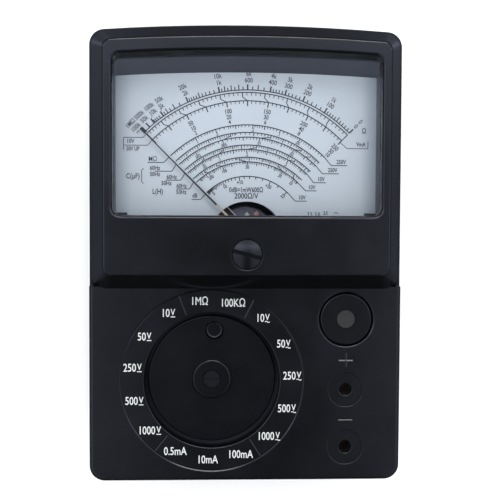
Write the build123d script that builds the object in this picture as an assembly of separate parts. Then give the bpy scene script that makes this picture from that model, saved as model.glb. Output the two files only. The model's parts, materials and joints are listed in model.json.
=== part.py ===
from build123d import *
from math import atan2, cos, degrees, hypot, radians, sin
import os

# An analog multimeter lying on its back. X is to the right, Y is towards the meter end and Z points
# out of the face. The origin is the centre of the back. All sizes are in millimetres.

# Case
case_half_width = 51.0
case_half_length = 74.5
case_corner = 5.0
top_arc_radius = 650.0
wall = 2.5
back_round = 3.0
parting_z = 15.0
shoulder_z = 33.0
cavity_margin = 0.3
cavity_lean = 0.9
cavity_low_inset = 1.2
cavity_foot_corner = 3.0
cavity_top_corner = 1.5
post_rib_half = 1.5
panel_z = 36.0
panel_top_y = -10.5
panel_round = 1.2
roof_z = 47.0
roof_thickness = 2.5
roof_under_z = roof_z - roof_thickness

# Raised meter block: foot outline on the shoulder, and the smaller flat top
block_foot_half_width = 50.7
block_foot_low_y = -12.5
block_foot_top_y = 74.2
block_foot_corner = 5.0
block_half_width = 45.5
block_low_y = -6.1
block_top_y = 69.2
block_corner = 2.75
block_round = 0.8

# Window, glass and dial
window_half_width = 42.5
window_low_y = 12.9
window_top_y = 65.0
window_corner = 2.6
window_slope = 1.6
window_round = 1.0
glass_half_width = 43.5
glass_low_y = 10.0
glass_top_y = 66.2
glass_thickness = 1.5
glass_z = roof_under_z - glass_thickness
dial_z = 36.0
dial_thickness = 0.8
dial_half_width = 43.2
dial_low_y = 0.4
dial_top_y = 61.0
dial_sight_top_y = 58.9
dial_hole_x = 0.2
dial_hole_y = 5.2
dial_hole_radius = 12.1
dial_screw_x = 24.0
dial_screw_y = 2.5
dial_screw_head = 0.8
dial_screw_head_radius = 2.0
dial_screw_tip_z = 32.0
dial_pillar_radius = 2.5

# Meter movement, turning about an upright axis at (0, pivot_y)
pivot_y = 6.5
pointer_rest_angle = 135.0
pointer_length = 48.5
pointer_z = 37.2
pointer_thickness = 0.4
core_radius = 9.5
core_low_z = 16.0
core_high_z = 29.0
yoke_outer = 16.0
yoke_inner = 11.6
yoke_low_z = 15.0
yoke_high_z = 28.0
former_inner = 9.9
former_wall = 0.4
former_width = 4.4
former_low_z = 14.4
former_high_z = 30.6
winding_wall = 0.8
winding_width = 3.8
frame_z = yoke_high_z
frame_thickness = 2.5
frame_hole = 12.6
frame_top_z = frame_z + frame_thickness
lug_post_radius = 3.0
lug_web = 3.6
lug_web_z = 34.0
small_screw_radius = 1.0
small_head_radius = 2.2
movement_screw_head = 1.5
movement_screw_tip_z = 33.0
movement_lugs = ((-30.0, -3.0), (30.0, -3.0), (-45.0, 24.0), (45.0, 24.0))
bridge_post_x = 14.0
bridge_post_y = -3.5
bridge_z = 40.9
bridge_thickness = 1.3
bridge_arm = 3.0
rear_bridge_z = 9.0
rear_bridge_thickness = 1.5
rear_post_x = 18.6
lever_z = 39.7
lever_thickness = 0.8
jewel_radius = 1.6
jewel_low_z = 38.9
pivot_radius = 0.44
pivot_hole = 0.5
stop_radius = 0.5
stop_reach = 9.0
stop_angle = 37.0

# Zero screw, whose off-centre pin swings the forked zero lever
zero_y = 0.6
zero_head_radius = 4.6
zero_hole_radius = 4.9
zero_slot = 1.3
zero_slot_angle = -15.0
zero_shaft = 2.2
zero_throw = 1.2
zero_pin = 0.6
fork_gap = 0.15

# Range selector
selector_x = -11.0
selector_y = -41.3
recess_z = 28.5
recess_floor = 2.0
recess_radius = 22.2
recess_round = 0.4
knob_radius = 21.0
knob_lift = 0.3
knob_low_z = recess_z + knob_lift
knob_face_z = 31.5
knob_skin = 1.4
knob_round = 0.5
knob_boss_radius = 6.5
knob_boss_z = 33.0
knob_boss_round = 0.7
knob_hole_radius = 3.0
knob_hole_z = 32.0
shaft_top_z = 31.3
dimple_radius = 3.1
dimple_reach = 16.0
dimple_depth = 2.0
dimple_wall = 1.2
pointing_angle = 3.0
ring_radius = 29.9
range_count = 15
range_step = 360.0 / range_count
first_range = -9.0
divider_angles = (-21.0, 27.0, 147.0, 219.0)
groove_width = 0.7
groove_depth = 0.2
divider_margin = 0.9
shaft_radius = 3.0
running_gap = 0.06
board_z = 18.0
board_thickness = 1.6
board_top_z = board_z + board_thickness
board_screw_head = 1.4
board_screw_tip_z = 26.0
board_lugs = ((-37.0, -17.0), (17.0, -17.0), (-37.0, -66.0), (17.0, -66.0))
stud_reach = 17.0
stud_radius = 1.2
contact_height = 0.8
detent_radius = 14.0
detent_notch = 1.2
detent_z = 22.7
detent_thickness = 2.0
rotor_z = 21.4

# Ohm-zero potentiometer
ohm_x = 33.0
ohm_y = -21.2
ohm_recess_radius = 8.8
ohm_recess_z = 31.0
ohm_recess_round = 0.6
ohm_knob_z = 35.7
ohm_shaft_z = 35.5
ohm_knob_radius = 8.5
ohm_shaft_radius = 3.2
ohm_bushing_radius = 4.6
ohm_body_radius = 8.4

# Test-lead jacks
jack_x = 33.0
plus_y = -44.4
minus_y = -63.5
jack_bore = 2.05
jack_outer = 3.0
jack_low_z = 16.5
jack_high_z = 33.4
jack_boss_radius = 6.5
jack_boss_z = 25.0
jack_dish_radius = 5.6
jack_dish_z = 35.5
jack_mouth_round = 0.3
jack_floor = 0.8
lug_ring_radius = 4.6
lug_tail = 9.0
lug_half_width = 1.2
jack_tag_z = 24.2
jack_nut_z = 21.7
jack_nut_radius = 5.4
sign_length = 4.6
sign_width = 0.8
plus_sign_y = -34.6
minus_sign_y = -54.3

# Battery compartment in the back
cell_radius = 7.25
cell_low_x = -28.5
cell_high_x = 20.9
cell_nub = 1.1
cell_y = -60.0
cell_z = 10.0
door_low_x = -35.5
door_high_x = 24.5
door_high_y = -50.0
door_gap = 0.3
door_thickness = 2.2
door_tongue = 1.3
door_lip_z = 8.0
bay_wall = 1.6
bay_top_z = 14.0

# Case screws
case_screws = ((-45.0, 60.0), (45.0, 60.0), (-45.0, -66.0), (45.0, -66.0))
screw_radius = 1.4
screw_head_radius = 2.9
screw_head_height = 2.2
screw_well_radius = 3.1
screw_well_z = 3.0
screw_tip_z = 23.0
boss_radius = 3.8


def rod(x, y, low, high, radius):
    """An upright cylinder between two heights."""
    return Pos(x, y, (low + high) / 2) * Cylinder(radius, high - low)


def tube(x, y, low, high, outer, inner):
    """An upright pipe between two heights."""
    return rod(x, y, low, high, outer) - rod(x, y, low, high, inner)


def slab(x_low, x_high, y_low, y_high, low, high):
    """A box between two corners."""
    middle = Pos((x_low + x_high) / 2, (y_low + y_high) / 2, (low + high) / 2)
    return middle * Box(x_high - x_low, y_high - y_low, high - low)


def rod_x(x_low, x_high, y, z, radius):
    """A cylinder lying along X."""
    middle = Pos((x_low + x_high) / 2, y, z)
    return middle * Rot(0, 90, 0) * Cylinder(radius, x_high - x_low)


def rod_y(x, y_low, y_high, z, radius):
    """A cylinder lying along Y."""
    middle = Pos(x, (y_low + y_high) / 2, z)
    return middle * Rot(90, 0, 0) * Cylinder(radius, y_high - y_low)


def hexagon(x, y, low, high, across_corners_radius):
    """An upright hexagonal prism."""
    return Pos(x, y, low) * extrude(RegularPolygon(across_corners_radius, 6), high - low)


def nut(x, y, low, high, outer, inner):
    """A plain hexagonal nut."""
    return hexagon(x, y, low, high, outer) - rod(x, y, low, high, inner)


def polar(x, y, reach, angle):
    """The point at a distance and a compass angle, clockwise from +Y, from a centre."""
    return x + reach * sin(radians(angle)), y + reach * cos(radians(angle))


def arched_face(half_width, y_low, y_top, corner):
    """A rounded rectangle whose top edge is a shallow arc."""
    y_side = y_top - half_width**2 / (2 * top_arc_radius)
    sides = Polyline((-half_width, y_side), (-half_width, y_low), (half_width, y_low), (half_width, y_side))
    face = make_face(sides + ThreePointArc((half_width, y_side), (0, y_top), (-half_width, y_side)))
    return fillet(face.vertices(), corner)


def between(low_face, low, high_face, high):
    """The straight-sided solid that joins two outlines at two heights."""
    return loft([Pos(0, 0, low) * low_face, Pos(0, 0, high) * high_face], ruled=True)


def screw(x, y, head_low, head_height, tip, radius, head_radius, slot_below):
    """An upright slotted screw; the head stands on head_low and the slot is on its far side."""
    head = rod(x, y, head_low, head_low + head_height, head_radius)
    reach = head_radius + 1
    if slot_below:
        slot = slab(x - reach, x + reach, y - 0.35, y + 0.35, head_low, head_low + head_height / 3)
    else:
        top = head_low + head_height
        slot = slab(x - reach, x + reach, y - 0.35, y + 0.35, top - head_height / 3, top)
    shank_low, shank_high = (head_low + head_height, tip) if slot_below else (tip, head_low)
    return head - slot + rod(x, y, shank_low, shank_high, radius)


case_face = arched_face(case_half_width, -case_half_length, case_half_length, case_corner)
cavity_face = arched_face(
    case_half_width - wall, wall - case_half_length, case_half_length - wall, case_corner - wall
)


# Case shells

def meter_block():
    """The raised block round the meter, sloping in on all four sides."""
    foot = arched_face(block_foot_half_width, block_foot_low_y, block_foot_top_y, block_foot_corner)
    top = arched_face(block_half_width, block_low_y, block_top_y, block_corner)
    block = between(foot, shoulder_z, top, roof_z)
    return fillet(block.edges().group_by(Axis.Z)[-1], block_round)


def meter_cavity():
    """The room inside the block, a wall's thickness in from its slopes."""
    inset = wall + cavity_margin
    foot = arched_face(
        block_foot_half_width - inset, block_foot_low_y + inset, block_foot_top_y - inset, cavity_foot_corner
    )
    top_inset = wall - cavity_lean
    top = arched_face(
        block_half_width - top_inset, block_low_y + cavity_low_inset, block_top_y - top_inset, cavity_top_corner
    )
    return between(foot, shoulder_z, top, roof_under_z)


def lower_panel():
    """The flat control panel below the block, with rounded outer edges."""
    field = Pos(0, panel_top_y - case_half_length) * Rectangle(4 * case_half_width, 2 * case_half_length)
    panel = Pos(0, 0, shoulder_z) * extrude(case_face & field, panel_z - shoulder_z)
    rim = [edge for edge in panel.edges().group_by(Axis.Z)[-1] if edge.center().Y < panel_top_y - 0.1]
    return fillet(rim, panel_round)


def window_hole():
    """The window opening, with a long slope along its top edge."""
    front = arched_face(window_half_width, window_low_y, window_top_y, window_corner)
    back = arched_face(window_half_width - 0.1, window_low_y, window_top_y - window_slope, window_corner)
    return between(back, roof_under_z, front, roof_z)


def vee(half_width):
    """The outline of a shallow V groove, standing upright with its floor down."""
    return Polyline((-half_width, 0), (0, -groove_depth), (half_width, 0), (-half_width, 0))


def straight_groove(length, half_width):
    """A V groove running along Y from the origin."""
    return extrude(Plane.XZ * make_face(vee(half_width)), -length)


def panel_grooves():
    """The engraved ring, dividers and terminal signs of the control panel."""
    half = groove_width / 2
    ring = revolve(Plane.XZ * Pos(ring_radius, 0) * make_face(vee(half)), Axis.Z)
    cuts = Pos(selector_x, selector_y, panel_z) * ring
    inner_end = recess_radius + divider_margin
    divider = straight_groove(ring_radius - inner_end, half)
    for angle in divider_angles:
        x, y = polar(selector_x, selector_y, inner_end, angle)
        cuts += Pos(x, y, panel_z) * Rot(0, 0, -angle) * divider
    bar = Pos(0, -sign_length / 2) * straight_groove(sign_length, sign_width / 2)
    cuts += Pos(jack_x, plus_sign_y, panel_z) * bar
    for y in (plus_sign_y, minus_sign_y):
        cuts += Pos(jack_x, y, panel_z) * Rot(0, 0, 90) * bar
    return cuts


def jack_well(y):
    """The dished mouth and the bore that takes a brass jack."""
    dish = rod(jack_x, y, jack_dish_z, panel_z, jack_dish_radius)
    mouth = rod(jack_x, y, jack_high_z, jack_dish_z, jack_bore)
    return dish + mouth + rod(jack_x, y, jack_boss_z, jack_high_z, jack_outer)


def rounded_mouths(shell):
    """The shell with its round openings' front edges, and the window's, softened."""
    rims = ((recess_radius, panel_z, recess_round), (ohm_recess_radius, panel_z, ohm_recess_round),
            (jack_dish_radius, panel_z, jack_mouth_round), (jack_bore, jack_dish_z, jack_mouth_round),
            (zero_hole_radius, roof_z, jack_mouth_round))
    for radius, height, rounding in rims:
        circles = [edge for edge in shell.edges().filter_by(GeomType.CIRCLE) if abs(edge.radius - radius) < 0.01]
        rim = [edge for edge in circles if abs(edge.center().Z - height) < 0.01]
        shell = fillet(rim, rounding)
    reach = window_half_width + 1
    front = [edge for edge in shell.edges() if abs(edge.center().Z - roof_z) < 0.01]
    rim = [edge for edge in front
           if abs(edge.center().X) < reach and window_low_y - 1 < edge.center().Y < window_top_y + 1]
    return fillet(rim, window_round)


def front_bosses():
    """Screw posts inside the front case."""
    posts = []
    for x, y in case_screws:
        side = 1 if x > 0 else -1
        low_x, high_x = sorted((x, side * (case_half_width - wall / 2)))
        posts.append(rod(x, y, parting_z, shoulder_z, boss_radius))
        posts.append(slab(low_x, high_x, y - post_rib_half, y + post_rib_half, parting_z, shoulder_z))
    for x, y in movement_lugs[:2]:
        posts.append(rod(x, y, frame_top_z, roof_under_z + 0.5, lug_post_radius))
    for x, y in movement_lugs[2:]:
        low_x, high_x = sorted((x, x + (lug_web if x > 0 else -lug_web)))
        posts.append(rod(x, y, frame_top_z, lug_web_z, lug_post_radius))
        posts.append(slab(low_x, high_x, y - lug_post_radius, y + lug_post_radius, frame_top_z, lug_web_z))
    for x, y in board_lugs:
        posts.append(rod(x, y, board_top_z, shoulder_z + 0.5, lug_post_radius))
    return posts


def front_case():
    """The moulded front: side walls, control panel and meter block in one shell."""
    shell = Pos(0, 0, parting_z) * extrude(case_face, shoulder_z - parting_z)
    shell += lower_panel()
    shell += meter_block()
    shell -= Pos(0, 0, parting_z) * extrude(cavity_face, shoulder_z - parting_z)
    shell -= meter_cavity()
    shell += rod(selector_x, selector_y, recess_z - recess_floor, panel_z - 1, recess_radius + recess_floor)
    shell += rod(ohm_x, ohm_y, ohm_recess_z - recess_floor, panel_z - 1, ohm_recess_radius + recess_floor)
    shell += rod(0, zero_y, roof_under_z - 1.5, roof_under_z + 1, zero_hole_radius + 1.5)
    for y in (plus_y, minus_y):
        shell += rod(jack_x, y, jack_boss_z, shoulder_z + 1, jack_boss_radius)
    for post in front_bosses():
        shell += post
    shell -= window_hole()
    shell -= panel_grooves()
    shell -= rod(selector_x, selector_y, recess_z, panel_z + 1, recess_radius)
    shell -= rod(selector_x, selector_y, recess_z - recess_floor, recess_z, 4.0)
    shell -= rod(ohm_x, ohm_y, ohm_recess_z, panel_z + 1, ohm_recess_radius)
    shell -= rod(ohm_x, ohm_y, ohm_recess_z - recess_floor, ohm_recess_z, ohm_bushing_radius)
    shell -= rod(0, zero_y, roof_z - 2, roof_z, zero_hole_radius)
    shell -= rod(0, zero_y, roof_under_z - 1.5, roof_z - 2, zero_shaft + running_gap)
    for y in (plus_y, minus_y):
        shell -= jack_well(y)
    for x, y in case_screws:
        shell -= rod(x, y, parting_z, screw_tip_z, screw_radius)
    for x, y in movement_lugs:
        shell -= rod(x, y, frame_top_z, movement_screw_tip_z, small_screw_radius)
    for x, y in board_lugs:
        shell -= rod(x, y, board_top_z, board_screw_tip_z, small_screw_radius)
    return rounded_mouths(shell)


def back_block():
    """The closed outer form of the rear cover."""
    block = extrude(case_face, parting_z)
    return fillet(block.edges().group_by(Axis.Z)[0], back_round)


def door_space(gap):
    """The battery door's plate, tongues and end lip, grown sideways by a gap."""
    low_y = -case_half_length - 1
    plate = slab(door_low_x - gap, door_high_x + gap, low_y, door_high_y + gap, -1, door_thickness + gap)
    lip = slab(
        door_low_x - gap, door_high_x + gap, low_y, wall - case_half_length, 0, door_lip_z + gap
    )
    reach = door_tongue + gap
    tongues = slab(
        door_low_x - reach, door_high_x + reach, 4 - case_half_length, door_high_y + gap,
        0.9 - gap / 2, 1.7 + gap / 2
    )
    return plate + lip + tongues


def rear_cover():
    """The tub-shaped back with screw posts and the battery bay."""
    low_x = door_low_x - door_gap
    high_x = door_high_x + door_gap
    wall_y = door_high_y + door_gap
    cover = back_block()
    cover -= Pos(0, 0, wall) * extrude(cavity_face, parting_z - wall)
    for x, y in case_screws:
        cover += rod(x, y, 1, parting_z, boss_radius + 0.6)
    bay = wall - case_half_length - 1
    cover += slab(low_x - bay_wall, low_x, bay, wall_y + bay_wall, wall - 0.5, bay_top_z)
    cover += slab(high_x, high_x + bay_wall, bay, wall_y + bay_wall, wall - 0.5, bay_top_z)
    cover += slab(low_x - bay_wall, high_x + bay_wall, wall_y, wall_y + bay_wall, wall - 0.5, bay_top_z)
    cover &= back_block()
    cover -= door_space(door_gap)
    slot_low = 4 - case_half_length
    cover -= slab(low_x - door_tongue, low_x, -case_half_length - 1, slot_low, 0.75, 1.85)
    cover -= slab(high_x, high_x + door_tongue, -case_half_length - 1, slot_low, 0.75, 1.85)
    for x, y in case_screws:
        cover -= rod(x, y, 0, screw_well_z, screw_well_radius)
        cover -= rod(x, y, screw_well_z, parting_z, screw_radius + 0.2)
    return cover


def battery_door():
    """The sliding door; its tongues run in grooves of the rear cover."""
    door = back_block() & door_space(0)
    grip = [
        slab(-11.5, 0.5, y, y + 0.8, -0.1, 0.5) for y in (-70.0, -68.2, -66.4, -64.6, -62.8)
    ]
    for bar in grip:
        door -= bar
    return door


def case_screw_set():
    """Four long screws that hold the rear cover to the front."""
    return [
        screw(x, y, screw_well_z - screw_head_height, screw_head_height, screw_tip_z, screw_radius,
              screw_head_radius, True)
        for x, y in case_screws
    ]


# Window

def window_glass():
    """The flat clear window behind the opening."""
    pane = extrude(arched_face(glass_half_width, glass_low_y, glass_top_y, 3.0), glass_thickness)
    return Pos(0, 0, glass_z) * pane


def window_frame():
    """The frame behind the glass: a long slope down to the top of the dial and thin side walls."""
    inner_half = window_half_width - 0.1
    outer = arched_face(glass_half_width, glass_low_y + 0.2, glass_top_y, 3.0)
    block = Pos(0, 0, dial_z) * extrude(outer, glass_z - dial_z)
    low = arched_face(inner_half - 0.15, -20, dial_sight_top_y, 0.4)
    high = arched_face(inner_half, -20, window_top_y - window_slope - 0.3, 1.2)
    frame = block - between(low, dial_z, high, glass_z)
    for side in (-1, 1):
        x_low, x_high = sorted((side * 38.5, side * glass_half_width))
        frame += slab(x_low, x_high, glass_low_y + 0.2, 13.6, dial_z, dial_z + 1.6)
    return frame


# Dial and movement

def dial_plate():
    """The printed metal dial with its round cut-out for the movement."""
    plate = extrude(arched_face(dial_half_width, dial_low_y, dial_top_y, 1.0), dial_thickness)
    plate = Pos(0, 0, dial_z - dial_thickness) * plate
    plate -= rod(dial_hole_x, dial_hole_y, dial_z - 1, dial_z + 1, dial_hole_radius)
    for x in (-dial_screw_x, dial_screw_x):
        plate -= rod(x, dial_screw_y, dial_z - 1, dial_z + 1, small_screw_radius)
    return plate


def dial_screws():
    """Two small screws that hold the dial on its pillars."""
    return [
        screw(x, dial_screw_y, dial_z, dial_screw_head, dial_screw_tip_z, small_screw_radius,
              dial_screw_head_radius, False)
        for x in (-dial_screw_x, dial_screw_x)
    ]


def movement_frame():
    """The moulded plate that carries the magnet system, the bridges and the dial."""
    top = frame_top_z
    frame = slab(-34, 34, -9, 26, frame_z, top)
    frame += slab(-48, 48, 20.5, 27.5, frame_z, top)
    frame -= rod(0, pivot_y, frame_z, top, frame_hole)
    for x in (-dial_screw_x, dial_screw_x):
        frame += rod(x, dial_screw_y, top - 0.5, dial_z - dial_thickness, dial_pillar_radius)
        frame -= rod(x, dial_screw_y, dial_screw_tip_z, dial_z, small_screw_radius)
    for x, y in movement_lugs:
        frame -= rod(x, y, frame_z, top, small_screw_radius)
    return frame


def movement_screws():
    """Four screws that hold the movement frame to the front case."""
    return [
        screw(x, y, frame_z - movement_screw_head, movement_screw_head, movement_screw_tip_z,
              small_screw_radius, small_head_radius, True)
        for x, y in movement_lugs
    ]


def yoke_ring():
    """The soft-iron ring that closes the magnetic circuit."""
    return tube(0, pivot_y, yoke_low_z, yoke_high_z, yoke_outer, yoke_inner)


def core_magnet():
    """The round magnet inside the moving coil."""
    return chamfer(rod(0, pivot_y, core_low_z, core_high_z, core_radius).edges(), 0.4)


def core_holder():
    """Two blocks that hold the core in the ring, in the sectors that the coil never reaches."""
    ring = tube(0, pivot_y, core_low_z + 0.5, yoke_high_z, yoke_inner, core_radius)
    wedge_half = 20 * sin(radians(24))
    wedge_reach = 20 * cos(radians(24))
    blocks = []
    for side in (-1, 1):
        far = side * wedge_reach
        wedge = make_face(Polyline((0, 0), (far, wedge_half), (far, -wedge_half), (0, 0)))
        blocks.append(ring & Pos(0, pivot_y, core_low_z) * extrude(wedge, 20))
    return blocks


def coil_loop(inner, thickness, width, low, high):
    """A rectangular loop round the core, standing in the plane of the pointer."""
    outer_half = inner + thickness
    loop = Box(2 * outer_half, width, high - low + 2 * thickness)
    loop -= Box(2 * inner, width, high - low)
    turned = Pos(0, pivot_y, (low + high) / 2) * Rot(0, 0, pointer_rest_angle)
    return turned * loop


def coil_former():
    """The light aluminium former."""
    return coil_loop(
        former_inner, former_wall, former_width, former_low_z + former_wall, former_high_z - former_wall
    )


def coil_winding():
    """The winding on the former."""
    return coil_loop(former_inner + former_wall, winding_wall, winding_width, former_low_z, former_high_z)


def front_pivot():
    """The front pivot boss that carries the pointer, with its fine pin."""
    boss = rod(0, pivot_y, former_high_z + winding_wall, pointer_z, 2.0)
    boss += rod(0, pivot_y, pointer_z, jewel_low_z - 0.1, 1.0)
    return boss + rod(0, pivot_y, jewel_low_z - 0.2, jewel_low_z + 0.7, pivot_radius)


def rear_pivot():
    """The rear pivot boss, with its fine pin."""
    top = former_low_z - winding_wall
    low = rear_bridge_z + rear_bridge_thickness + 0.7
    return rod(0, pivot_y, low, top, 1.0) + rod(0, pivot_y, low - 0.9, low + 0.1, pivot_radius)


def front_jewel_screw():
    """The adjustable screw with the jewel for the front pivot."""
    top = bridge_z + bridge_thickness + 0.6
    body = rod(0, pivot_y, jewel_low_z, top, jewel_radius)
    body -= rod(0, pivot_y, jewel_low_z, jewel_low_z + 0.8, pivot_hole)
    return body - slab(-3, 3, pivot_y - 0.25, pivot_y + 0.25, top - 0.4, top)


def rear_jewel_screw():
    """The adjustable screw with the jewel for the rear pivot."""
    top = rear_bridge_z + rear_bridge_thickness + 0.6
    body = rod(0, pivot_y, rear_bridge_z - 1.4, top, jewel_radius)
    body -= rod(0, pivot_y, top - 0.9, top, pivot_hole)
    return body - slab(-3, 3, pivot_y - 0.25, pivot_y + 0.25, rear_bridge_z - 1.4, rear_bridge_z - 1.0)


def front_bridge():
    """The forked bridge over the pointer, on two posts, with the jewel screw at its tip."""
    bridge = rod(0, pivot_y, bridge_z, bridge_z + bridge_thickness, 3.6)
    run = hypot(bridge_post_x, pivot_y - bridge_post_y)
    for side in (-1, 1):
        middle = Pos(side * bridge_post_x / 2, (pivot_y + bridge_post_y) / 2, bridge_z + bridge_thickness / 2)
        lean = side * -degrees(atan2(pivot_y - bridge_post_y, bridge_post_x))
        bridge += middle * Rot(0, 0, lean) * Box(run, bridge_arm, bridge_thickness)
        bridge += rod(side * bridge_post_x, bridge_post_y, frame_top_z, bridge_z + bridge_thickness, 2.0)
    return bridge - rod(0, pivot_y, bridge_z, bridge_z + bridge_thickness, jewel_radius)


def rear_bridge():
    """The strap behind the coil, on two posts under the movement frame."""
    strap = slab(-rear_post_x, rear_post_x, pivot_y - 3.5, pivot_y + 3.5, rear_bridge_z,
                 rear_bridge_z + rear_bridge_thickness)
    for side in (-1, 1):
        strap += rod(side * rear_post_x, pivot_y, rear_bridge_z, frame_z, 2.4)
    return strap - rod(0, pivot_y, rear_bridge_z, rear_bridge_z + rear_bridge_thickness, jewel_radius)


def pointer_stops():
    """Two pins under the front bridge that stop the pointer's tail."""
    pins = []
    for side in (-1, 1):
        x = side * stop_reach * cos(radians(stop_angle))
        y = pivot_y - stop_reach * sin(radians(stop_angle))
        pins.append(rod(x, y, pointer_z - 0.5, bridge_z, stop_radius))
    return pins


def pointer():
    """The tapered pointer with its short tail and cross arms."""
    hub = tube(0, 0, 0, pointer_thickness, 2.0, 1.0)
    blade = make_face(Polyline((1.4, 0.4), (30, 0.24), (pointer_length, 0.14), (pointer_length, -0.14),
                               (30, -0.24), (1.4, -0.4), (1.4, 0.4)))
    arms = extrude(blade, pointer_thickness)
    arms += slab(-9.6, -1.4, -0.4, 0.4, 0, pointer_thickness)
    for side in (-1, 1):
        arms += slab(-0.35, 0.35, *sorted((side * 1.4, side * 6.0)), 0, pointer_thickness)
    return Pos(0, pivot_y, pointer_z) * Rot(0, 0, pointer_rest_angle) * (hub + arms)


def counterweights():
    """Three wound balance weights on the pointer's tail and cross arms."""
    turned = Pos(0, pivot_y, pointer_z + pointer_thickness / 2) * Rot(0, 0, pointer_rest_angle)
    ring = pointer_thickness + 0.5
    tail = Pos(-6.6, 0, 0) * (Box(1.6, 1.8, ring) - Box(1.6, 0.8, pointer_thickness))
    weights = [turned * tail]
    for side in (-1, 1):
        side_weight = Pos(0, side * 4.9, 0) * (Box(1.7, 1.2, ring) - Box(0.7, 1.2, pointer_thickness))
        weights.append(turned * side_weight)
    return weights


def hairspring(low, inner, outer, turns, end_angle):
    """A flat spiral strip from a hub out to its anchor."""
    steps = int(turns * 12)
    half = 0.08

    def edge(offset):
        points = []
        for step in range(steps + 1):
            share = step / steps
            reach = inner + (outer - inner) * share + offset
            angle = radians(end_angle - 360 * turns * (1 - share))
            points.append((reach * cos(angle), reach * sin(angle)))
        return points
    out_edge = edge(half)
    in_edge = edge(-half)
    ends = Line(out_edge[0], in_edge[0]) + Line(out_edge[-1], in_edge[-1])
    outline = Spline(*out_edge) + Spline(*in_edge) + ends
    return Pos(0, pivot_y, low) * extrude(make_face(outline), 0.6)


def front_hairspring():
    """The hairspring between the pointer boss and the zero lever."""
    return hairspring(38.0, 1.1, 5.4, 3, 195.0)


def rear_hairspring():
    """The hairspring between the rear boss and the rear bridge."""
    return hairspring(rear_bridge_z + rear_bridge_thickness + 1.0, 1.1, 5.4, 3, 0.0)


def zero_lever():
    """The forked lever that turns the front hairspring's anchor."""
    lever = tube(0, 0, 0, lever_thickness, 3.0, jewel_radius + running_gap)
    fork_y = zero_y - pivot_y
    lever += slab(-1.9, 1.9, fork_y - 2.4, -2.2, 0, lever_thickness)
    slot = zero_pin + fork_gap
    lever -= slab(-slot, slot, fork_y - 3, fork_y + 1.4, 0, lever_thickness)
    lever += slab(-6.1, -2.4, -1.9, -1.2, 0, lever_thickness)
    lever += slab(-6.1, -5.5, -1.9, -1.0, -1.7, lever_thickness)
    return Pos(0, pivot_y, lever_z) * lever


def zero_screw():
    """The domed, slotted zero screw with its off-centre pin."""
    seat = roof_z - 1.95
    dome_radius = 16.0
    head = rod(0, 0, seat, roof_z + 0.9, zero_head_radius)
    head &= Pos(0, 0, roof_z + 0.9 - dome_radius) * Sphere(dome_radius)
    head -= Pos(0, 0, roof_z + 0.6) * Rot(0, 0, zero_slot_angle) * Box(12, zero_slot, 2.0)
    shank = rod(0, 0, 41.4, seat, zero_shaft)
    pin = rod(0, -zero_throw, lever_z - 0.2, 41.4, zero_pin)
    return Pos(0, zero_y, 0) * (head + shank + pin)


def zero_screw_clip():
    """The ring that holds the zero screw in the case."""
    ring = tube(0, zero_y, 42.5, 42.9, 3.2, zero_shaft)
    return ring - slab(-0.8, 0.8, zero_y, zero_y + 5, 42, 43)


# Range selector

def selector_bushing():
    """The threaded bushing that carries the selector shaft."""
    low = recess_z - recess_floor - 1.7
    body = rod(selector_x, selector_y, recess_z, recess_z + 1.0, 6.0)
    body += rod(selector_x, selector_y, low, recess_z, 4.0)
    return body - rod(selector_x, selector_y, low, recess_z + 1.0, shaft_radius + running_gap)


def selector_nut():
    """The nut under the panel that holds the bushing."""
    high = recess_z - recess_floor
    return nut(selector_x, selector_y, high - 1.5, high, 6.6, 4.0)


def selector_knob():
    """The sunk disc knob with a raised hub, a screw hole and a finger dimple."""
    knob = rod(0, 0, knob_low_z, knob_face_z, knob_radius)
    knob = fillet(knob.edges().group_by(Axis.Z)[-1], knob_round)
    boss = rod(0, 0, knob_face_z - 0.5, knob_boss_z, knob_boss_radius)
    knob += fillet(boss.edges().group_by(Axis.Z)[-1], knob_boss_round)
    hollow_z = knob_face_z - knob_skin
    knob -= rod(0, 0, knob_low_z, hollow_z, knob_radius - 1.8) - rod(0, 0, knob_low_z, hollow_z, 5.2)
    knob -= rod(0, 0, knob_low_z, recess_z + 1.3, 6.5)
    knob -= rod(0, 0, recess_z + 1.3, shaft_top_z, shaft_radius)
    knob -= rod(0, 0, shaft_top_z, knob_hole_z, screw_radius)
    knob -= rod(0, 0, knob_hole_z, knob_boss_z, knob_hole_radius)
    x, y = polar(0, 0, dimple_reach, pointing_angle)
    knob += rod(x, y, knob_low_z, hollow_z, dimple_radius + dimple_wall)
    dimple = rod(x, y, knob_face_z - dimple_depth, knob_face_z, dimple_radius)
    knob -= fillet(dimple.edges().group_by(Axis.Z)[0], 1.0)
    return Pos(selector_x, selector_y, 0) * knob


def knob_screw():
    """The screw that holds the knob on its shaft."""
    return screw(selector_x, selector_y, knob_hole_z, 0.8, shaft_top_z - 4.3, screw_radius, 2.7, False)


def selector_shaft():
    """The shaft from the knob down to the wiper arm."""
    shaft = rod(selector_x, selector_y, board_z - 1.6, shaft_top_z, shaft_radius)
    return shaft - rod(selector_x, selector_y, shaft_top_z - 4.3, shaft_top_z, screw_radius)


def shaft_clip():
    """The ring that keeps the shaft in its bushing."""
    low, high = board_z - 1.1, board_z - 0.3
    ring = tube(selector_x, selector_y, low, high, 4.6, shaft_radius)
    return ring - slab(selector_x - 1, selector_x + 1, selector_y, selector_y + 6, low, high)


def detent_wheel():
    """The notched wheel; every second notch is a range and the others are open positions."""
    wheel = rod(0, 0, 0, detent_thickness, detent_radius)
    for step in range(2 * range_count):
        x, y = polar(0, 0, detent_radius, 90 + step * range_step / 2)
        notch = Rot(0, 0, 45) * Rectangle(detent_notch, detent_notch)
        wheel -= Pos(x, y, 0) * Rot(0, 0, -step * range_step / 2) * extrude(notch, detent_thickness)
    wheel -= rod(0, 0, 0, detent_thickness, shaft_radius)
    return Pos(selector_x, selector_y, detent_z) * wheel


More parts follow.
